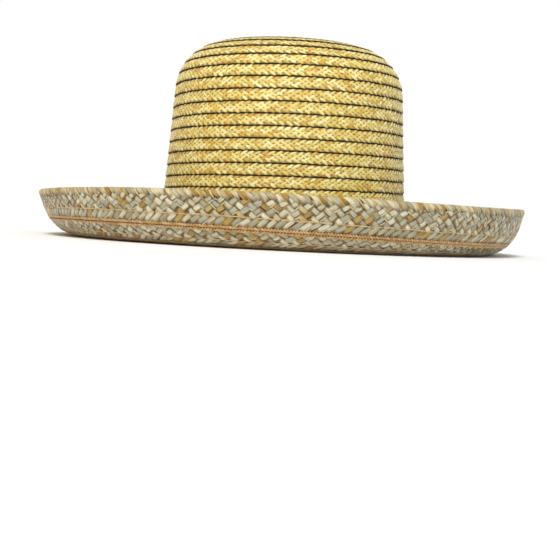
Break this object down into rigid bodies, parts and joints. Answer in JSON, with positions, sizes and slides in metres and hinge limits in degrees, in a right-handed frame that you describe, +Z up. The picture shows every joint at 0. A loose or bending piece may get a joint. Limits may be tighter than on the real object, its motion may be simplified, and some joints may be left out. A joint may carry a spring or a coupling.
{
  "type": "sewn straw sun hat",
  "caption": "Straw sun hat with a round plaited crown and a wide sloping brim turned up at the edge, trimmed with a spiral braid.",
  "frame": {"origin": "middle of the hat's box, on the surface that the brim rests on", "axes": "+Z up through the crown, the front of the hat faces -Y, +X is to the right as seen from the front camera"},
  "size_m": [0.3534, 0.3594, 0.1479],
  "materials": {
    "gold_straw_plait": "narrow plait of gold straw, satin",
    "sage_straw_plait": "wide twill plait of sage and gold-brown straw, satin",
    "tan_braid": "flat two-rib braid, matt",
    "brown_ribbon": "ribbed ribbon, matt"
  },
  "bodies": {
    "root": {"crown": "gold_straw_plait", "brim": "sage_straw_plait", "soutache_turn_1": "tan_braid", "soutache_turn_2": "tan_braid", "soutache_turn_3": "tan_braid", "soutache_turn_4": "tan_braid", "soutache_turn_5": "tan_braid", "sweatband": "brown_ribbon"}
  },
  "joints": []
}
